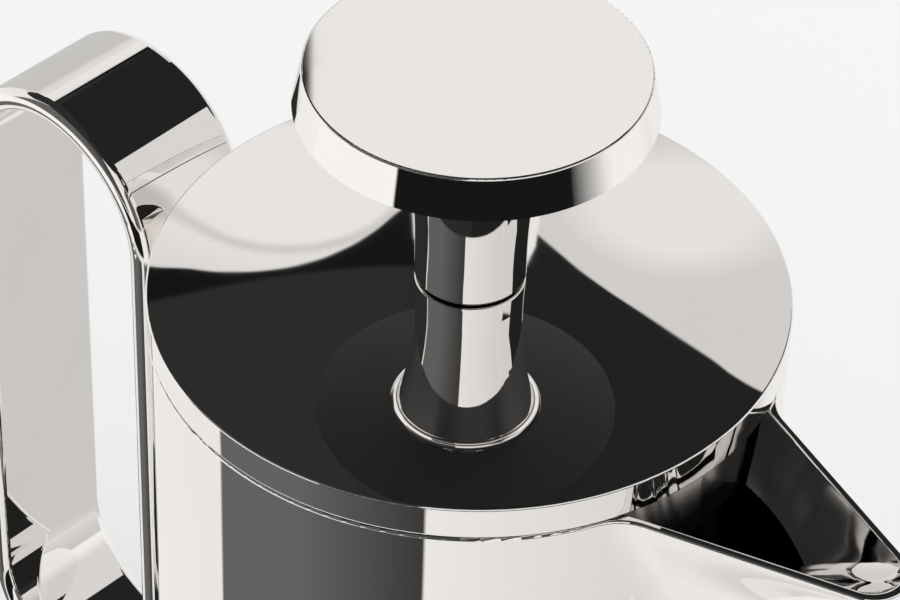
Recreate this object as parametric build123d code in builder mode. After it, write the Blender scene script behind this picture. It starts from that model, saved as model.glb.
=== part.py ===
"""Press coffee pot in polished steel: spouted body, strap handle, domed lid and disc-knob plunger.

Millimetres. The origin is the centre of the underside, +Z is up, +X points to the spout
and the handle is on -X.
"""
import os
from math import acos, atan2, cos, hypot, pi, radians, sin, sqrt

from build123d import *

os.makedirs("parts", exist_ok=True)

# ---- pot body
POT_RADIUS = 52.5
SHEET = 1.2
FLOOR_THICKNESS = 1.5
BODY_TOP = 159.7
BASE_CORNER = 3.0
INNER_RADIUS = POT_RADIUS - SHEET

# ---- spout: a folded beak, wide at the body and round at the tip
SPOUT_ROOT_X = 40.0
SPOUT_WALL = 1.3
SPOUT_RIDGE_WALL = 2.0
SPOUT_BLEND = 8.0
RIM_ROUND = 0.4
SPOUT_LEVELS = [
    # height, reach of the ridge, tip radius, half width at the root
    (101.0, 48.5, 4.2, 4.6),
    (116.0, 54.6, 4.6, 10.0),
    (128.0, 59.6, 5.0, 13.8),
    (138.0, 65.0, 5.2, 16.6),
    (146.0, 71.6, 5.4, 18.6),
    (153.0, 81.0, 5.8, 20.2),
    (BODY_TOP, 91.0, 6.4, 21.4),
]

# ---- handle: one flat strap bent into a closed loop
HANDLE_CENTRE_X = -87.6
HANDLE_ARC_RADIUS = 23.7
HANDLE_TOP_ARC_Z = 138.0
HANDLE_BOTTOM_ARC_Z = 38.5
STRAP_THICKNESS = 4.4
STRAP_WIDTH = 26.2
STRAP_EDGE = 2.0
POST_RADIUS = 5.0
POST_HEIGHTS = {"handle_post_upper": 125.0, "handle_post_lower": 50.0}

# ---- lid
LID_BOTTOM = 160.0
LID_EDGE_TOP = 166.0
LID_CROWN = 3.2
LID_SHEET = 1.0
LID_EDGE_RADIUS = 0.4
PAN_TOP = 161.0
SKIRT_RADIUS = 50.4
SKIRT_BOTTOM = 146.0
SLOT_COUNT = 9
SLOT_MIDDLE_ANGLE = 180.0
SLOT_PITCH = 6.0
SLOT_WIDTH = 2.0
SLOT_HEIGHT = 8.0
SLOT_CENTRE_Z = 152.5

# ---- rod guide in the lid
ROD_RADIUS = 2.5
RUNNING_GAP = 0.05
BUSH_RADIUS = 6.0
BUSH_FLANGE_RADIUS = 9.0
BUSH_FLANGE = 1.5
BUSH_BOTTOM = 150.0
BUSH_TOP = 168.4
BUSH_NUT_RADIUS = 9.5
BUSH_NUT_HEIGHT = 3.5

# ---- knob
STEM_BOTTOM = 169.5
STEM_TOP = 203.5
STEM_RADIUS = 9.1
STEM_FLARE_BOTTOM = 173.5
STEM_FLARE_RADIUS = 109.0
STEM_LIP = 1.6
STEM_WALL = 1.2
STEM_FOOT_ROUND = 0.4
KNOB_TOP = 210.5
KNOB_TOP_RADIUS = 27.5
KNOB_BOTTOM_RADIUS = 28.9
KNOB_SHEET = 1.0
KNOB_EDGE = 0.4
CORE_TOP = 202.5
INSERT_RADIUS = 4.5
INSERT_LENGTH = 14.0

# ---- plunger
ROD_BOTTOM = 8.0
ROD_TOP = 190.0
COLLAR_BOTTOM = 20.0
COLLAR_RADIUS = 6.5
COLLAR_HEIGHT = 4.0
PLATE_THICKNESS = 1.0
PLATE_RADIUS = 47.8
PLATE_RIM_DROP = 3.4
PLATE_HOLE_RADIUS = 2.4
PLATE_HOLE_RINGS = ((14.0, 10), (23.0, 16), (32.0, 22), (40.5, 28))    # ring radius, holes in it
SPRING_RING_RADIUS = 49.4
SPRING_WIRE_RADIUS = 1.6
MESH_THICKNESS = 0.5
MESH_RADIUS = 46.4
CROSS_THICKNESS = 1.5
CROSS_RADIUS = 45.5
CROSS_RIM = 4.0
CROSS_HUB = 9.0
CROSS_ARM = 8.0
STACK_GAP = 0.3
HUB_RADIUS = 6.5
HUB_HEIGHT = 5.0


def beak_outline(reach, tip_radius, half_width):
    """Closed plan outline of the spout at one height: two straight walls and a round tip."""
    centre = reach - tip_radius
    run = centre - SPOUT_ROOT_X
    tangent = pi - atan2(half_width, run) - acos(tip_radius / hypot(run, half_width))
    touch = (centre + tip_radius * cos(tangent), tip_radius * sin(tangent))
    mirrored = (touch[0], -touch[1])
    Line((SPOUT_ROOT_X, -half_width), mirrored)
    ThreePointArc(mirrored, (reach, 0), touch)
    Line(touch, (SPOUT_ROOT_X, half_width))
    Line((SPOUT_ROOT_X, half_width), (SPOUT_ROOT_X, -half_width))


# ======== pot body, drawn in one piece with its floor and spout ========
with BuildPart() as pot_body:
    # outer wall and floor
    with BuildSketch(Plane.XZ):
        with BuildLine():
            Polyline((0, BODY_TOP), (0, 0), (POT_RADIUS, 0), (POT_RADIUS, BODY_TOP), close=True)
        make_face()
    revolve(axis=Axis.Z)
    fillet(pot_body.edges().group_by(Axis.Z)[0], BASE_CORNER)
    # outside of the spout
    for height, reach, tip_radius, half_width in SPOUT_LEVELS:
        with BuildSketch(Plane.XY.offset(height)):
            with BuildLine():
                beak_outline(reach, tip_radius, half_width)
            make_face()
    loft()
    creases = pot_body.edges().filter_by(GeomType.BSPLINE).filter_by(
        lambda edge: abs(hypot((edge @ 0.5).X, (edge @ 0.5).Y) - POT_RADIUS) < 0.1
    )
    fillet(creases, SPOUT_BLEND)
    # inside of the pot
    with BuildSketch(Plane.XY.offset(FLOOR_THICKNESS)):
        Circle(INNER_RADIUS)
    extrude(amount=BODY_TOP, mode=Mode.SUBTRACT)
    # inside of the spout
    for height, reach, tip_radius, half_width in SPOUT_LEVELS:
        with BuildSketch(Plane.XY.offset(height)):
            with BuildLine():
                beak_outline(
                    reach - SPOUT_RIDGE_WALL, tip_radius - SPOUT_WALL, half_width - SPOUT_WALL
                )
            make_face()
    loft(mode=Mode.SUBTRACT)
    fillet(pot_body.edges().group_by(Axis.Z)[-1], RIM_ROUND)

pot_body.part.label = "pot_body"
export_step(pot_body.part, "parts/pot_body.step")

# ======== handle strap ========
loop_height = HANDLE_TOP_ARC_Z - HANDLE_BOTTOM_ARC_Z + 2 * HANDLE_ARC_RADIUS
loop_centre = (HANDLE_CENTRE_X, (HANDLE_TOP_ARC_Z + HANDLE_BOTTOM_ARC_Z) / 2)
with BuildPart() as handle_strap:
    with BuildSketch(Plane.XZ):
        with Locations(loop_centre):
            SlotOverall(loop_height, 2 * HANDLE_ARC_RADIUS, rotation=90)
            SlotOverall(
                loop_height - 2 * STRAP_THICKNESS,
                2 * (HANDLE_ARC_RADIUS - STRAP_THICKNESS),
                rotation=90,
                mode=Mode.SUBTRACT,
            )
    extrude(amount=STRAP_WIDTH / 2, both=True)
    side_faces = handle_strap.faces().filter_by(Plane.XZ)
    fillet(side_faces.edges(), STRAP_EDGE)

handle_strap.part.label = "handle_strap"
export_step(handle_strap.part, "parts/handle_strap.step")

# ======== posts that hold the strap off the body ========
strap_face_x = HANDLE_CENTRE_X + HANDLE_ARC_RADIUS
for post_name, post_height in POST_HEIGHTS.items():
    with BuildPart() as handle_post:
        with BuildSketch(Plane.YZ.offset(strap_face_x)):
            with Locations((0, post_height)):
                Circle(POST_RADIUS)
        extrude(amount=-strap_face_x - INNER_RADIUS)
        with Locations((0, 0, post_height)):
            Cylinder(POT_RADIUS, 4 * POST_RADIUS, mode=Mode.SUBTRACT)
    handle_post.part.label = post_name
    export_step(handle_post.part, "parts/" + post_name + ".step")

# ======== lid top, a spun dome with a turned-down edge ========
crown_top = LID_EDGE_TOP + LID_CROWN
inner_edge_top = LID_EDGE_TOP - LID_SHEET
lid_inner_radius = POT_RADIUS - LID_SHEET
dome_radius = (POT_RADIUS**2 + LID_CROWN**2) / (2 * LID_CROWN)
dome_centre = crown_top - dome_radius


def dome_height(radius, lowered=0.0):
    """Height of the lid's dome at a distance from the axis."""
    return dome_centre + sqrt(dome_radius**2 - radius**2) - lowered


hole_edge = (BUSH_RADIUS, dome_height(BUSH_RADIUS))
mid_radius = POT_RADIUS / 2
with BuildPart() as lid_top:
    with BuildSketch(Plane.XZ):
        with BuildLine():
            Line((POT_RADIUS, LID_BOTTOM), (POT_RADIUS, LID_EDGE_TOP))
            ThreePointArc(
                (POT_RADIUS, LID_EDGE_TOP), (mid_radius, dome_height(mid_radius)), hole_edge
            )
            Line(hole_edge, (BUSH_RADIUS, dome_height(BUSH_RADIUS, LID_SHEET)))
            ThreePointArc(
                (BUSH_RADIUS, dome_height(BUSH_RADIUS, LID_SHEET)),
                (mid_radius, dome_height(mid_radius, LID_SHEET)),
                (lid_inner_radius, dome_height(lid_inner_radius, LID_SHEET)),
            )
            Line(
                (lid_inner_radius, dome_height(lid_inner_radius, LID_SHEET)),
                (lid_inner_radius, LID_BOTTOM),
            )
            Line((lid_inner_radius, LID_BOTTOM), (POT_RADIUS, LID_BOTTOM))
        make_face()
    revolve(axis=Axis.Z)
    rim_edges = lid_top.edges().filter_by(
        lambda edge: abs(edge.length - 2 * pi * POT_RADIUS) < 0.01
    )
    fillet(rim_edges, LID_EDGE_RADIUS)

lid_top.part.label = "lid_top"
export_step(lid_top.part, "parts/lid_top.step")

# ======== lid pan: the underside plate with the straining skirt ========
with BuildPart() as lid_pan:
    with BuildSketch(Plane.XY.offset(LID_BOTTOM)):
        Circle(lid_inner_radius)
        Circle(BUSH_RADIUS, mode=Mode.SUBTRACT)
    extrude(amount=PAN_TOP - LID_BOTTOM)
    with BuildSketch(Plane.XY.offset(SKIRT_BOTTOM)):
        Circle(SKIRT_RADIUS)
        Circle(SKIRT_RADIUS - LID_SHEET, mode=Mode.SUBTRACT)
    extrude(amount=LID_BOTTOM - SKIRT_BOTTOM)
    # pouring slots, turned to the handle side: the lid is closed
    for index in range(SLOT_COUNT):
        slot_angle = SLOT_MIDDLE_ANGLE + (index - (SLOT_COUNT - 1) / 2) * SLOT_PITCH
        slot_plane = Plane(
            origin=(0, 0, SLOT_CENTRE_Z),
            x_dir=(-sin(radians(slot_angle)), cos(radians(slot_angle)), 0),
            z_dir=(cos(radians(slot_angle)), sin(radians(slot_angle)), 0),
        )
        with BuildSketch(slot_plane.offset(SKIRT_RADIUS - 4 * LID_SHEET)):
            SlotOverall(SLOT_HEIGHT, SLOT_WIDTH, rotation=90)
        extrude(amount=6 * LID_SHEET, mode=Mode.SUBTRACT)

lid_pan.part.label = "lid_pan"
export_step(lid_pan.part, "parts/lid_pan.step")

# ======== rod bush and the nut that holds it under the lid ========
bush_bore = ROD_RADIUS + RUNNING_GAP
with BuildPart() as rod_bush:
    with BuildSketch(Plane.XY.offset(BUSH_BOTTOM)):
        Circle(BUSH_RADIUS)
    extrude(amount=BUSH_TOP - BUSH_BOTTOM)
    with BuildSketch(Plane.XY.offset(PAN_TOP)):
        Circle(BUSH_FLANGE_RADIUS)
    extrude(amount=BUSH_FLANGE)
    with BuildSketch(Plane.XY.offset(BUSH_BOTTOM)):
        Circle(bush_bore)
    extrude(amount=BUSH_TOP - BUSH_BOTTOM, mode=Mode.SUBTRACT)

rod_bush.part.label = "rod_bush"
export_step(rod_bush.part, "parts/rod_bush.step")

with BuildPart() as bush_nut:
    with BuildSketch(Plane.XY.offset(LID_BOTTOM)):
        RegularPolygon(BUSH_NUT_RADIUS, 6)
        Circle(BUSH_RADIUS, mode=Mode.SUBTRACT)
    extrude(amount=-BUSH_NUT_HEIGHT)

bush_nut.part.label = "bush_nut"
export_step(bush_nut.part, "parts/bush_nut.step")

# ======== knob: disc cap, underplate, flared stem, core and the sleeve that takes the rod ========
cap_inner_bottom = KNOB_BOTTOM_RADIUS - KNOB_SHEET
cap_inner_top = KNOB_TOP_RADIUS - KNOB_SHEET
with BuildPart() as knob_cap:
    with BuildSketch(Plane.XZ):
        with BuildLine():
            Polyline(
                (0, KNOB_TOP),
                (KNOB_TOP_RADIUS, KNOB_TOP),
                (KNOB_BOTTOM_RADIUS, STEM_TOP),
                (cap_inner_bottom, STEM_TOP),
                (cap_inner_top, KNOB_TOP - KNOB_SHEET),
                (0, KNOB_TOP - KNOB_SHEET),
                close=True,
            )
        make_face()
    revolve(axis=Axis.Z)
    outer_rings = knob_cap.edges().filter_by(
        lambda edge: edge.length > 2 * pi * (KNOB_TOP_RADIUS - 0.1)
    )
    fillet(outer_rings.sort_by(Axis.Z)[-1], KNOB_EDGE)

knob_cap.part.label = "knob_cap"
export_step(knob_cap.part, "parts/knob_cap.step")

plate_top = STEM_TOP + KNOB_SHEET
plate_top_radius = cap_inner_bottom - (cap_inner_bottom - cap_inner_top) * KNOB_SHEET / (
    KNOB_TOP - KNOB_SHEET - STEM_TOP
)
with BuildPart() as knob_underplate:
    with BuildSketch(Plane.XZ):
        with BuildLine():
            Polyline(
                (0, plate_top),
                (plate_top_radius, plate_top),
                (cap_inner_bottom, STEM_TOP),
                (0, STEM_TOP),
                close=True,
            )
        make_face()
    revolve(axis=Axis.Z)

knob_underplate.part.label = "knob_underplate"
export_step(knob_underplate.part, "parts/knob_underplate.step")

flare_centre_x = STEM_RADIUS + STEM_FLARE_RADIUS


def flare_point(wall, height):
    """Point on the stem's flare, measured inwards from its outside by a wall thickness."""
    rise = height - STEM_FLARE_BOTTOM
    return (flare_centre_x - sqrt((STEM_FLARE_RADIUS + wall) ** 2 - rise**2), height)


lip_bottom = STEM_TOP - STEM_LIP
lip_root = flare_point(0, lip_bottom)
lip_edge = (lip_root[0] + STEM_LIP, STEM_TOP)
lip_turn = (lip_edge[0] - STEM_LIP * cos(radians(45)), lip_bottom + STEM_LIP * sin(radians(45)))
flare_middle = (STEM_FLARE_BOTTOM + lip_bottom) / 2
stem_bore = STEM_RADIUS - STEM_WALL
with BuildPart() as knob_stem:
    with BuildSketch(Plane.XZ):
        with BuildLine():
            Line((STEM_RADIUS, STEM_BOTTOM), (STEM_RADIUS, STEM_FLARE_BOTTOM))
            ThreePointArc((STEM_RADIUS, STEM_FLARE_BOTTOM), flare_point(0, flare_middle), lip_root)
            ThreePointArc(lip_root, lip_turn, lip_edge)
            Line(lip_edge, flare_point(STEM_WALL, STEM_TOP))
            ThreePointArc(
                flare_point(STEM_WALL, STEM_TOP),
                flare_point(STEM_WALL, flare_middle),
                (stem_bore, STEM_FLARE_BOTTOM),
            )
            Line((stem_bore, STEM_FLARE_BOTTOM), (stem_bore, STEM_BOTTOM))
            Line((stem_bore, STEM_BOTTOM), (STEM_RADIUS, STEM_BOTTOM))
        make_face()
    revolve(axis=Axis.Z)
    outer_foot = knob_stem.edges().group_by(Axis.Z)[0].sort_by(SortBy.LENGTH)[-1]
    fillet(outer_foot, STEM_FOOT_ROUND)

knob_stem.part.label = "knob_stem"
export_step(knob_stem.part, "parts/knob_stem.step")

with BuildPart() as knob_core:
    with BuildSketch(Plane.XY.offset(STEM_BOTTOM)):
        Circle(stem_bore)
    extrude(amount=CORE_TOP - STEM_BOTTOM)
    with BuildSketch(Plane.XY.offset(STEM_BOTTOM)):
        Circle(bush_bore)
    extrude(amount=ROD_TOP + STACK_GAP - STEM_BOTTOM, mode=Mode.SUBTRACT)
    with BuildSketch(Plane.XY.offset(STEM_BOTTOM)):
        Circle(INSERT_RADIUS)
    extrude(amount=INSERT_LENGTH, mode=Mode.SUBTRACT)

knob_core.part.label = "knob_core"
export_step(knob_core.part, "parts/knob_core.step")

# metal sleeve in the foot of the core that the end of the rod screws into
with BuildPart() as knob_insert:
    with BuildSketch(Plane.XY.offset(STEM_BOTTOM)):
        Circle(INSERT_RADIUS)
        Circle(bush_bore, mode=Mode.SUBTRACT)
    extrude(amount=INSERT_LENGTH)

knob_insert.part.label = "knob_insert"
export_step(knob_insert.part, "parts/knob_insert.step")

# ======== plunger rod and its stop collar ========
with BuildPart() as plunger_rod:
    with BuildSketch(Plane.XY.offset(ROD_BOTTOM)):
        Circle(ROD_RADIUS)
    extrude(amount=ROD_TOP - ROD_BOTTOM)
    chamfer(plunger_rod.edges().group_by(Axis.Z)[-1], ROD_RADIUS / 4)
    chamfer(plunger_rod.edges().group_by(Axis.Z)[0], ROD_RADIUS / 4)

plunger_rod.part.label = "plunger_rod"
export_step(plunger_rod.part, "parts/plunger_rod.step")

with BuildPart() as rod_collar:
    with BuildSketch(Plane.XY.offset(COLLAR_BOTTOM)):
        Circle(COLLAR_RADIUS)
        Circle(ROD_RADIUS, mode=Mode.SUBTRACT)
    extrude(amount=COLLAR_HEIGHT)
    chamfer(rod_collar.edges().group_by(Axis.Z)[-1].sort_by(SortBy.LENGTH)[-1], 1.0)

rod_collar.part.label = "rod_collar"
export_step(rod_collar.part, "parts/rod_collar.step")

# ======== filter stack: cover plate, edge spring, mesh, cross plate and hub nut ========
plate_bottom = COLLAR_BOTTOM - PLATE_THICKNESS
with BuildPart() as cover_plate:
    with BuildSketch(Plane.XY.offset(plate_bottom)):
        Circle(PLATE_RADIUS)
        Circle(ROD_RADIUS, mode=Mode.SUBTRACT)
        for ring_radius, hole_count in PLATE_HOLE_RINGS:
            with PolarLocations(ring_radius, hole_count):
                Circle(PLATE_HOLE_RADIUS, mode=Mode.SUBTRACT)
    extrude(amount=PLATE_THICKNESS)
    with BuildSketch(Plane.XY.offset(plate_bottom)):
        Circle(PLATE_RADIUS)
        Circle(PLATE_RADIUS - PLATE_THICKNESS, mode=Mode.SUBTRACT)
    extrude(amount=-PLATE_RIM_DROP)

cover_plate.part.label = "cover_plate"
export_step(cover_plate.part, "parts/cover_plate.step")

spring_height = plate_bottom - PLATE_RIM_DROP / 2
with BuildPart() as edge_spring:
    with Locations((0, 0, spring_height)):
        Torus(SPRING_RING_RADIUS, SPRING_WIRE_RADIUS)

edge_spring.part.label = "edge_spring"
export_step(edge_spring.part, "parts/edge_spring.step")

mesh_bottom = plate_bottom - MESH_THICKNESS
with BuildPart() as filter_mesh:
    with BuildSketch(Plane.XY.offset(mesh_bottom)):
        Circle(MESH_RADIUS)
        Circle(ROD_RADIUS, mode=Mode.SUBTRACT)
    extrude(amount=MESH_THICKNESS)

filter_mesh.part.label = "filter_mesh"
export_step(filter_mesh.part, "parts/filter_mesh.step")

cross_top = mesh_bottom - STACK_GAP
with BuildPart() as cross_plate:
    with BuildSketch(Plane.XY.offset(cross_top - CROSS_THICKNESS)):
        Circle(CROSS_RADIUS)
        Circle(CROSS_RADIUS - CROSS_RIM, mode=Mode.SUBTRACT)
        Rectangle(2 * CROSS_RADIUS - CROSS_RIM, CROSS_ARM)
        Rectangle(CROSS_ARM, 2 * CROSS_RADIUS - CROSS_RIM)
        Circle(CROSS_HUB)
        Circle(bush_bore, mode=Mode.SUBTRACT)
    extrude(amount=CROSS_THICKNESS)

cross_plate.part.label = "cross_plate"
export_step(cross_plate.part, "parts/cross_plate.step")

hub_top = cross_top - CROSS_THICKNESS
with BuildPart() as hub_nut:
    with BuildSketch(Plane.XY.offset(hub_top)):
        Circle(HUB_RADIUS)
        Circle(bush_bore, mode=Mode.SUBTRACT)
    extrude(amount=-HUB_HEIGHT)
    chamfer(hub_nut.edges().group_by(Axis.Z)[0].sort_by(SortBy.LENGTH)[-1], 1.0)

hub_nut.part.label = "hub_nut"
export_step(hub_nut.part, "parts/hub_nut.step")
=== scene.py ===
from math import cos, pi, radians, sin, sqrt

import bpy
from mathutils import Matrix, Vector


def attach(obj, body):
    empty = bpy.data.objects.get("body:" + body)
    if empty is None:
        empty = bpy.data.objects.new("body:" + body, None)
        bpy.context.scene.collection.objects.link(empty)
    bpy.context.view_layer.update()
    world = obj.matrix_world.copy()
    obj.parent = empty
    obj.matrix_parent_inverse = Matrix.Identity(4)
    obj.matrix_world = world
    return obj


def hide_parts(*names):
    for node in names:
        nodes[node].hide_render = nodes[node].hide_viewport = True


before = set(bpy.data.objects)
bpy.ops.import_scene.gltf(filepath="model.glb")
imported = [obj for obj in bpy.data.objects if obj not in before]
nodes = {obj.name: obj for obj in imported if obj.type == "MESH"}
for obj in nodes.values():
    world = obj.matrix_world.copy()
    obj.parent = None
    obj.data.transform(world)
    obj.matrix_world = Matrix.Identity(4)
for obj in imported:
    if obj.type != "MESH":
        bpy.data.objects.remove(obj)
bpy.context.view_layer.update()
scene = bpy.context.scene

MM = 0.001
AWAY = radians(42.0)          # turn from the camera-aligned axes to the model's axes
LID_PLANE = 166.0 * MM        # height of the lid's top edge
DEGREES = 180 / pi            # degrees in one radian

# studio: directions in degrees, brightness from 0 to 1
WHITE, RIGHT_WHITE, LOW_WHITE = 0.88, 0.74, 0.95
CARD_LEFT, CARD_RIGHT, CARD_BOTTOM = -97.5, -13.0, -49.0
CARD_BRIGHT, CARD_DIM = 0.135, 0.045
GAP_LOW, GAP_HIGH, GAP_LEFT = -30.0, -8.0, -46.0
GAP_DARK = 0.009
FRONT_EDGE, SIDE_EDGE = 45.2, 28.0        # elevation where the ceiling begins
WINDOW_LEFT, WINDOW_RIGHT, WINDOW_TOP = 2.65, -3.75, 39.6
STRIP_RIGHT, STRIP_LEFT, STRIP_BOTTOM = 2.5, 24.0, 39.9
CEILING_RIGHT, CEILING_LEFT, CEILING_STRIP = 0.0165, 0.0275, 0.008
PLAIN_LIGHT, BACKDROP = 0.95, 0.913
TENT_GREEN, TENT_BLUE = 0.985, 0.97       # the tent is slightly warm
EDGE_SPAN, EDGE_LOW, EDGE_HIGH = 30.0, 30.0, 50.0
# behind the pot: position across the span and height of the ceiling's edge, both from 0 to 1
CEILING_EDGE = (
    (0.0, 0.68), (0.19, 0.755), (0.25, 0.70), (0.333, 0.59), (0.383, 0.50), (0.417, 0.41), (0.45, 0.30),
    (0.50, 0.10), (0.553, 0.26), (0.582, 0.36), (0.61, 0.42), (0.64, 0.455), (0.67, 0.465), (0.71, 0.445),
    (0.755, 0.38), (0.79, 0.34), (0.85, 0.42), (1.0, 0.56),
)


# ---------------------------------------------------------------- node helpers
class Tree:
    """Small helper that adds and links shader nodes."""

    def __init__(self, owner):
        owner.use_nodes = True
        self.nodes = owner.node_tree.nodes
        self.links = owner.node_tree.links

    def add(self, kind, inputs=None, **settings):
        node = self.nodes.new(kind)
        for key, value in settings.items():
            setattr(node, key, value)
        for key, value in (inputs or {}).items():
            socket = node.inputs[key]
            if hasattr(value, "links"):
                self.links.new(value, socket)
            else:
                socket.default_value = value
        return node

    def math(self, operation, a, b=0.0):
        return self.add("ShaderNodeMath", {0: a, 1: b}, operation=operation).outputs[0]

    def times(self, a, b):
        return self.math("MULTIPLY", a, b)

    def left_of_one(self, value):
        return self.math("SUBTRACT", 1.0, value)

    def step(self, value, edge, width):
        """Soft step: 0 below the edge, 1 above it."""
        node = self.add(
            "ShaderNodeMapRange",
            {"Value": value, "From Min": edge - width, "From Max": edge + width},
            interpolation_type="SMOOTHSTEP",
        )
        return node.outputs[0]

    def band(self, value, low, high, width):
        """1 between two edges, else 0."""
        return self.times(self.step(value, low, width), self.left_of_one(self.step(value, high, width)))

    def ramp(self, value, low, high, at_low, at_high):
        """Even change between two edges, flat outside them."""
        node = self.add("ShaderNodeMapRange", {"Value": value, "From Min": low, "From Max": high,
                                               "To Min": at_low, "To Max": at_high})
        return node.outputs[0]

    def curve(self, value, low, high, points, bottom, top):
        """Height of a smooth curve through points that are given from 0 to 1 both ways."""
        node = self.add("ShaderNodeFloatCurve", {"Value": self.ramp(value, low, high, 0.0, 1.0)})
        line = node.mapping.curves[0]
        while len(line.points) < len(points):
            line.points.new(0.5, 0.5)
        for point, place in zip(line.points, points):
            point.location = place
        node.mapping.update()
        return self.ramp(node.outputs[0], 0.0, 1.0, bottom, top)

    def scaled(self, vector, factor):
        return self.add("ShaderNodeVectorMath", {0: vector, "Scale": factor}, operation="SCALE").outputs[0]

    def mix(self, factor, a, b):
        """a where the factor is 0, b where it is 1."""
        node = self.add("ShaderNodeMix", {"Factor": factor, "A": a, "B": b}, data_type="FLOAT")
        return node.outputs[0]


# ---------------------------------------------------------------- studio surroundings
def studio_world():
    """A light tent for the mirror steel: pale walls under a dark ceiling, a grey card and a dark gap.

    Directions are given as an elevation and a turn, both in degrees. The turn is 0 towards
    the viewer, negative to the left. Behind the pot it is given from the far side instead,
    positive to the left.
    """
    world = bpy.data.worlds.new("studio")
    scene.world = world
    t = Tree(world)
    turned = t.add(
        "ShaderNodeVectorRotate",
        {"Vector": t.add("ShaderNodeTexCoord").outputs["Generated"], "Axis": (0, 0, 1), "Angle": -AWAY},
        rotation_type="AXIS_ANGLE",
    ).outputs[0]
    x, y, z = t.add("ShaderNodeSeparateXYZ", {0: turned}).outputs
    elevation = t.times(t.math("ARCSINE", z), DEGREES)
    turn = t.times(t.math("ARCTAN2", x, t.times(y, -1.0)), DEGREES)
    behind = t.times(t.math("ARCTAN2", t.times(x, -1.0), y), DEGREES)

    def away_from(turn_centre, elevation_centre):
        across = t.math("SUBTRACT", behind, turn_centre)
        along = t.math("SUBTRACT", elevation, elevation_centre)
        return t.math("SQRT", t.math("ADD", t.times(across, across), t.times(along, along)))

    # pale walls, a little darker on the right, with a soft glow behind the pot on each side
    wall = t.mix(t.band(turn, -10.0, 64.0, 1.0), WHITE, t.ramp(turn, -10.0, 64.0, WHITE, RIGHT_WHITE))
    wall = t.mix(t.band(elevation, -30.0, 0.0, 4.0), wall, LOW_WHITE)
    high_right = t.times(t.step(elevation, 5.0, 5.0), t.band(turn, 60.0, 150.0, 15.0))
    wall = t.mix(high_right, wall, 0.73)
    upper_back = t.times(t.step(elevation, 22.0, 3.0), t.band(behind, -40.0, 40.0, 8.0))
    right_glow = t.mix(t.ramp(away_from(-10.0, 33.0), 3.5, 6.0, 0.0, 1.0), 0.84, 0.68)
    lobe = away_from(8.2, 32.4)
    left_glow = t.mix(t.band(lobe, 5.2, 5.9, 0.35), t.ramp(lobe, 5.0, 9.0, 0.86, 0.74), 0.66)
    wall = t.mix(upper_back, wall, t.mix(t.step(behind, 0.0, 2.0), right_glow, left_glow))
    low_left = t.times(t.band(elevation, -35.0, 22.0, 3.0), t.band(behind, 6.0, 30.0, 5.0))
    wall = t.mix(low_left, wall, 0.6)
    low_right = t.times(t.band(turn, 80.0, 130.0, 8.0), t.band(elevation, -70.0, -30.0, 4.0))
    wall = t.mix(low_right, wall, 0.63)

    # grey card on the front left, from the table up to the ceiling, with a white strip across it
    on_card = t.times(t.band(turn, CARD_LEFT, CARD_RIGHT, 0.8), t.step(elevation, CARD_BOTTOM, 1.0))
    card = t.mix(on_card, wall, t.ramp(turn, -62.0, CARD_RIGHT, CARD_BRIGHT, CARD_DIM))
    over_card = t.times(t.band(elevation, -34.0, -5.0, 2.0), t.step(turn, -110.0, 2.0))
    wall = t.mix(over_card, card, t.mix(t.band(turn, -110.0, GAP_LEFT, 2.0), wall, 1.0))

    # dark gap in the tent, seen by the side of the knob
    gap = t.times(t.band(elevation, GAP_LOW, GAP_HIGH, 1.5), t.step(turn, GAP_LEFT, 1.0))
    gap = t.times(gap, t.ramp(turn, 58.0, 86.0, 1.0, 0.0))
    wall = t.mix(gap, wall, GAP_DARK)

    # dark ceiling with an uneven lower edge behind the pot
    edge = t.curve(behind, -EDGE_SPAN, EDGE_SPAN, CEILING_EDGE, EDGE_LOW, EDGE_HIGH)
    sideways = t.math("ABSOLUTE", behind)
    edge = t.mix(t.band(sideways, 20.5, 80.0, 1.0), edge, SIDE_EDGE)
    edge = t.mix(t.band(turn, -100.0, 75.0, 3.0), edge, FRONT_EDGE)
    ceiling = t.mix(t.step(behind, 2.0, 2.0), CEILING_RIGHT, CEILING_LEFT)
    in_strip = t.times(t.band(behind, STRIP_RIGHT, STRIP_LEFT, 1.0), t.step(elevation, STRIP_BOTTOM, 0.25))
    strip = t.mix(in_strip, CEILING_STRIP, ceiling)
    ceiling = t.mix(t.band(behind, 2.0, STRIP_LEFT, 1.0), ceiling, strip)

    # white window in the ceiling, seen by the top of the knob
    below_top = t.step(t.times(elevation, -1.0), -WINDOW_TOP, 0.2)
    window = t.times(t.band(behind, WINDOW_RIGHT, WINDOW_LEFT, 0.08), below_top)
    above_edge = t.step(t.math("SUBTRACT", elevation, edge), 0.0, 0.12)
    wall = t.mix(window, wall, WHITE)
    wall = t.mix(t.times(above_edge, t.left_of_one(window)), wall, ceiling)

    # only mirrors see the tent; plain light comes evenly from all round
    path = t.add("ShaderNodeLightPath")
    mirrored = path.outputs["Is Glossy Ray"]
    seen = t.mix(mirrored, PLAIN_LIGHT, wall)
    seen = t.mix(path.outputs["Is Camera Ray"], seen, BACKDROP)
    colour = t.add("ShaderNodeCombineColor", {
        "Red": seen,
        "Green": t.times(seen, t.mix(mirrored, 1.0, TENT_GREEN)),
        "Blue": t.times(seen, t.mix(mirrored, 1.0, TENT_BLUE)),
    })
    t.links.new(colour.outputs[0], t.nodes["Background"].inputs["Color"])


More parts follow.
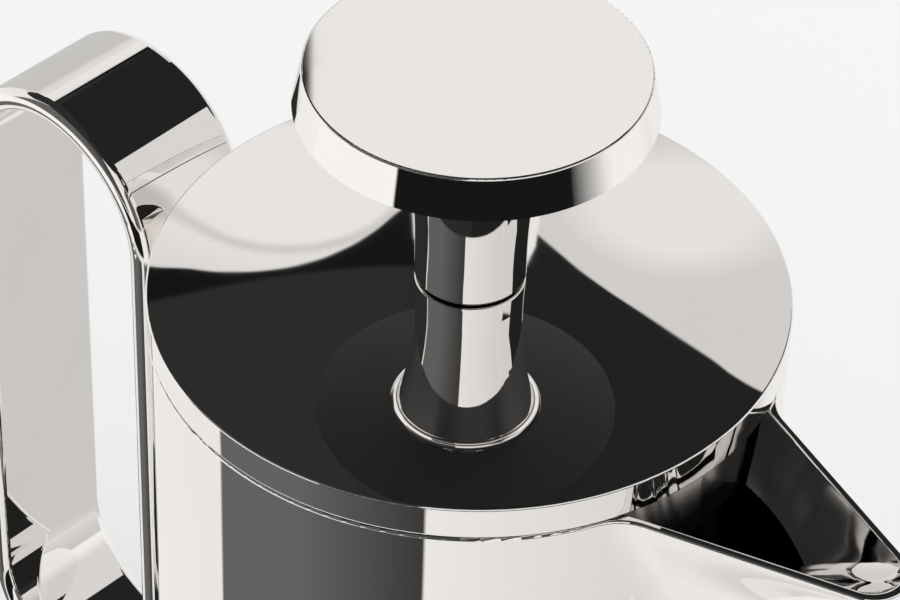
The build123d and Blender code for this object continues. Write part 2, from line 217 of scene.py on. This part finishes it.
# ---------------------------------------------------------------- materials
SMUDGE_SCALE, GRAIN_LINES, SPECK_SCALE = 38.0, 900.0, 2600.0
GRAIN_DEPTH, SPECK_DEPTH = 0.05 * MM, 0.1 * MM
POLISHED_TINT = (0.93, 0.915, 0.90)
# the second roughness serves both the black plastic and the painted shade under the knob
MIRROR_ROUGHNESS, DULL_ROUGHNESS = 0.012, 0.42
UNDERSIDE_SHADE = 0.022           # how bright the painted shade on the knob's downward faces is next to the bare steel


def metal(name, tint, roughness, grain=0.0, grain_scale=(1, 1, 1), smudge=0.03):
    """Steel with faint smudges and an optional grain."""
    material = bpy.data.materials.new(name)
    t = Tree(material)
    shader = t.nodes["Principled BSDF"]
    shader.inputs["Metallic"].default_value = 1.0
    coords = t.add("ShaderNodeTexCoord").outputs["Object"]
    noise = {"Vector": coords, "Scale": SMUDGE_SCALE, "Detail": 4.0, "Roughness": 0.6}
    cloud = t.add("ShaderNodeTexNoise", noise).outputs["Fac"]
    t.links.new(t.ramp(cloud, 0.35, 0.75, roughness, roughness + smudge), shader.inputs["Roughness"])
    t.links.new(t.scaled(tint, t.ramp(cloud, 0.3, 0.8, 1.0, 0.975)), shader.inputs["Base Color"])
    if grain:
        mapped = t.add("ShaderNodeMapping", {"Vector": coords, "Scale": grain_scale})
        noise = {"Vector": mapped.outputs[0], "Scale": GRAIN_LINES, "Detail": 3.0}
        lines = t.add("ShaderNodeTexNoise", noise).outputs["Fac"]
        bump = t.add("ShaderNodeBump", {"Height": lines, "Strength": grain, "Distance": GRAIN_DEPTH})
        t.links.new(bump.outputs[0], shader.inputs["Normal"])
    return material


def painted_shade_underneath(material):
    """Painted shade: the faces that look straight down are made dull and near-black, in place of the dark
    shade under the knob.
    """
    t = Tree(material)
    shader = t.nodes["Principled BSDF"]
    normal = t.add("ShaderNodeNewGeometry").outputs["Normal"]
    facing_up = t.add("ShaderNodeSeparateXYZ", {0: normal}).outputs[2]
    # mask of the downward faces that get the painted shade
    under = t.step(t.times(facing_up, -1.0), 0.9, 0.02)
    tint = shader.inputs["Base Color"].links[0].from_socket
    polish = shader.inputs["Roughness"].links[0].from_socket
    t.links.new(t.scaled(tint, t.ramp(under, 0.0, 1.0, 1.0, UNDERSIDE_SHADE)), shader.inputs["Base Color"])
    t.links.new(t.left_of_one(under), shader.inputs["Metallic"])
    t.links.new(t.mix(under, polish, DULL_ROUGHNESS), shader.inputs["Roughness"])
    return material


def plastic(name, tint, roughness):
    """Moulded plastic with a fine spark-eroded texture."""
    material = bpy.data.materials.new(name)
    t = Tree(material)
    shader = t.nodes["Principled BSDF"]
    coords = t.add("ShaderNodeTexCoord").outputs["Object"]
    noise = {"Vector": coords, "Scale": SPECK_SCALE, "Detail": 2.0}
    speck = t.add("ShaderNodeTexNoise", noise).outputs["Fac"]
    t.links.new(t.ramp(speck, 0.0, 1.0, roughness - 0.06, roughness + 0.1), shader.inputs["Roughness"])
    t.links.new(t.scaled(tint, t.ramp(speck, 0.0, 1.0, 0.8, 1.2)), shader.inputs["Base Color"])
    bump = t.add("ShaderNodeBump", {"Height": speck, "Strength": 0.25, "Distance": SPECK_DEPTH})
    t.links.new(bump.outputs[0], shader.inputs["Normal"])
    return material


mirror = metal("mirror_steel", POLISHED_TINT, MIRROR_ROUGHNESS, smudge=0.02)
# the knob cap's downward faces carry painted shade
knob_steel = painted_shade_underneath(metal("knob_steel", POLISHED_TINT, MIRROR_ROUGHNESS, smudge=0.02))
inner_steel = metal("inner_steel", (0.80, 0.79, 0.78), 0.16, grain=0.15, grain_scale=(1, 1, 0.03))
satin = metal("satin_steel", (0.82, 0.81, 0.80), 0.3, grain=0.2)
black_plastic = plastic("black_plastic", (0.02, 0.02, 0.022), DULL_ROUGHNESS)

looks = {
    "pot_body": mirror, "handle_strap": mirror, "handle_post_upper": mirror,
    "handle_post_lower": mirror, "lid_top": mirror, "knob_cap": knob_steel,
    "knob_underplate": black_plastic, "knob_stem": mirror, "lid_pan": inner_steel,
    "bush_nut": inner_steel, "plunger_rod": inner_steel, "rod_collar": inner_steel,
    "cover_plate": inner_steel, "edge_spring": inner_steel, "filter_mesh": satin,
    "cross_plate": inner_steel, "hub_nut": inner_steel, "rod_bush": black_plastic,
    "knob_core": black_plastic, "knob_insert": inner_steel,
}
for name, look in looks.items():
    node = nodes[name]
    node.data.materials.clear()
    node.data.materials.append(look)


# ---------------------------------------------------------------- spring and gauze of the filter
SPRING_RING, SPRING_COIL, SPRING_WIRE = 49.4 * MM, 1.25 * MM, 0.35 * MM
SPRING_HEIGHT = 17.3 * MM
SPRING_TURNS, SPRING_STEPS, SPRING_SIDES = 180, 14, 7
GAUZE_RADIUS, GAUZE_HOLE, GAUZE_HEM = 46.4 * MM, 2.5 * MM, 1.3 * MM
GAUZE_LOW, GAUZE_HIGH = 18.5 * MM, 19.0 * MM
GAUZE_PITCH, GAUZE_WIRE, GAUZE_WAVE = 1.8 * MM, 0.11 * MM, 0.12 * MM
GAUZE_STEPS, GAUZE_SIDES = 5, 5
HEM_BEVEL = 0.12 * MM


def swept_wire(points, normals, radius, sides, closed=False):
    """Vertices and faces of a round wire along points; each normal fixes how the wire is turned."""
    count = len(points)
    verts, faces = [], []
    for index, (point, normal) in enumerate(zip(points, normals)):
        ahead = points[(index + 1) % count] if closed or index + 1 < count else point
        back = points[index - 1] if closed or index else point
        tangent = (ahead - back).normalized()
        out = (normal - tangent * normal.dot(tangent)).normalized()
        across = tangent.cross(out)
        for side in range(sides):
            angle = 2 * pi * side / sides
            verts.append(point + (out * cos(angle) + across * sin(angle)) * radius)
    for index in range(count if closed else count - 1):
        here, there = index * sides, (index + 1) % count * sides
        for side in range(sides):
            beside = (side + 1) % sides
            faces.append((here + side, here + beside, there + beside, there + side))
    if not closed:
        faces.append(tuple(reversed(range(sides))))
        faces.append(tuple(range((count - 1) * sides, count * sides)))
    return verts, faces


def rounded_ring(inner, outer, low, high, edge, steps=128):
    """Vertices and faces of a flat ring about the pot's axis with bevelled corners."""
    profile = [
        (inner + edge, low), (outer - edge, low), (outer, low + edge), (outer, high - edge),
        (outer - edge, high), (inner + edge, high), (inner, high - edge), (inner, low + edge),
    ]
    verts, faces = [], []
    for step in range(steps):
        angle = 2 * pi * step / steps
        verts += [Vector((r * cos(angle), r * sin(angle), z)) for r, z in profile]
    size = len(profile)
    for step in range(steps):
        here, there = step * size, (step + 1) % steps * size
        for corner in range(size):
            beside = (corner + 1) % size
            faces.append((here + corner, there + corner, there + beside, here + beside))
    return verts, faces


def piece(name, parts, look, node, body):
    """One mesh object from several vertex and face lists, shown in place of a CAD node."""
    verts, faces = [], []
    for part_verts, part_faces in parts:
        offset = len(verts)
        verts += [tuple(v) for v in part_verts]
        faces += [tuple(offset + i for i in face) for face in part_faces]
    mesh = bpy.data.meshes.new(name)
    mesh.from_pydata(verts, [], faces)
    mesh.polygons.foreach_set("use_smooth", [len(face) == 4 for face in faces])
    mesh.materials.append(look)
    obj = bpy.data.objects.new(name, mesh)
    scene.collection.objects.link(obj)
    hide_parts(node)
    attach(obj, body)


def coil_spring():
    """Fine coil bent into a closed ring around the cover plate."""
    points, normals = [], []
    steps = SPRING_TURNS * SPRING_STEPS
    for step in range(steps):
        around = 2 * pi * step / steps
        twist = around * SPRING_TURNS
        radial = Vector((cos(around), sin(around), 0))
        normal = radial * cos(twist) + Vector((0, 0, 1)) * sin(twist)
        points.append(radial * SPRING_RING + Vector((0, 0, SPRING_HEIGHT)) + normal * SPRING_COIL)
        normals.append(normal)
    piece("spring_coil", [swept_wire(points, normals, SPRING_WIRE, SPRING_SIDES, closed=True)],
          inner_steel, "edge_spring", "plunger")


def gauze_wire(line, along_x, start, end):
    """One woven wire from start to end, beside the axis by a number of pitches."""
    steps = max(2, int((end - start) / GAUZE_PITCH * GAUZE_STEPS))
    points, normals = [], []
    for step in range(steps + 1):
        run = start + (end - start) * step / steps
        wave = cos(pi * run / GAUZE_PITCH + pi * line + (0 if along_x else pi)) * GAUZE_WAVE
        height = (GAUZE_LOW + GAUZE_HIGH) / 2 + wave
        beside = line * GAUZE_PITCH
        points.append(Vector((run, beside, height) if along_x else (beside, run, height)))
        normals.append(Vector((0, 0, 1)))
    return swept_wire(points, normals, GAUZE_WIRE, GAUZE_SIDES)


def gauze():
    """Woven wire disc with a flat hem at its edge and around the rod."""
    parts = [
        rounded_ring(GAUZE_RADIUS - GAUZE_HEM, GAUZE_RADIUS, GAUZE_LOW, GAUZE_HIGH, HEM_BEVEL),
        rounded_ring(GAUZE_HOLE, GAUZE_HOLE + GAUZE_HEM, GAUZE_LOW, GAUZE_HIGH, HEM_BEVEL, steps=48),
    ]
    reach = GAUZE_RADIUS - GAUZE_HEM / 2
    hole = GAUZE_HOLE + GAUZE_HEM / 2
    lines = int(reach / GAUZE_PITCH)
    for along_x in (True, False):
        for line in range(-lines, lines + 1):
            beside = abs(line) * GAUZE_PITCH
            end = sqrt(reach**2 - beside**2)
            if beside < hole:
                start = sqrt(hole**2 - beside**2)
                parts.append(gauze_wire(line, along_x, start, end))
                parts.append(gauze_wire(line, along_x, -end, -start))
            else:
                parts.append(gauze_wire(line, along_x, -end, end))
    piece("filter_gauze", parts, satin, "filter_mesh", "plunger")


coil_spring()
gauze()


# ---------------------------------------------------------------- floor, light, camera
def floor():
    """Plain sheet of pale paper."""
    mesh = bpy.data.meshes.new("floor")
    half = 3.0
    corners = [(-half, -half, 0), (half, -half, 0), (half, half, 0), (-half, half, 0)]
    mesh.from_pydata(corners, [], [(0, 1, 2, 3)])
    plane = bpy.data.objects.new("floor", mesh)
    scene.collection.objects.link(plane)
    material = bpy.data.materials.new("floor_paper")
    t = Tree(material)
    shader = t.nodes["Principled BSDF"]
    shader.inputs["Base Color"].default_value = (0.9, 0.9, 0.9, 1)
    shader.inputs["Roughness"].default_value = 0.9
    mesh.materials.append(material)
    plane.visible_glossy = False


def area_light(name, place, target, size, power):
    data = bpy.data.lights.new(name, "AREA")
    data.shape = "RECTANGLE"
    data.size, data.size_y = size
    data.energy = power
    light = bpy.data.objects.new(name, data)
    scene.collection.objects.link(light)
    light.location = place
    light.rotation_mode = "QUATERNION"
    light.rotation_quaternion = (Vector(place) - Vector(target)).to_track_quat("Z", "Y")
    light.visible_camera = False
    light.visible_glossy = False


def camera():
    """Looks down at the lid from the front, between spout and handle."""
    elevation, roll = radians(40.73), radians(1.92)
    distance = 648.4 * MM
    aim_x, aim_y = 3.19 * MM, 2.28 * MM
    focal_in_pixels, frame_width = 4000.0, 900.0
    data = bpy.data.cameras.new("camera")
    data.sensor_width = 36.0
    data.lens = focal_in_pixels / frame_width * data.sensor_width
    data.clip_start, data.clip_end = 0.01, 20.0
    cam = bpy.data.objects.new("camera", data)
    scene.collection.objects.link(cam)
    right = Vector((1, 0, 0))
    ahead = Vector((0, cos(elevation), -sin(elevation)))
    above = Vector((0, sin(elevation), cos(elevation)))
    across = right * cos(roll) + above * sin(roll)
    upward = above * cos(roll) - right * sin(roll)
    place = -ahead * distance - across * aim_x - upward * aim_y
    matrix = Matrix.Identity(4)
    for row in range(3):
        matrix[row][0] = across[row]
        matrix[row][1] = upward[row]
        matrix[row][2] = -ahead[row]
        matrix[row][3] = place[row]
    cam.matrix_world = Matrix.Translation((0, 0, LID_PLANE)) @ Matrix.Rotation(AWAY, 4, "Z") @ matrix
    scene.camera = cam


studio_world()
floor()
area_light("overhead", place=(0.3, 0.6, 1.4), target=(0, 0, 0.1), size=(1.6, 1.6), power=3.0)
camera()
scene.view_settings.view_transform = "Standard"
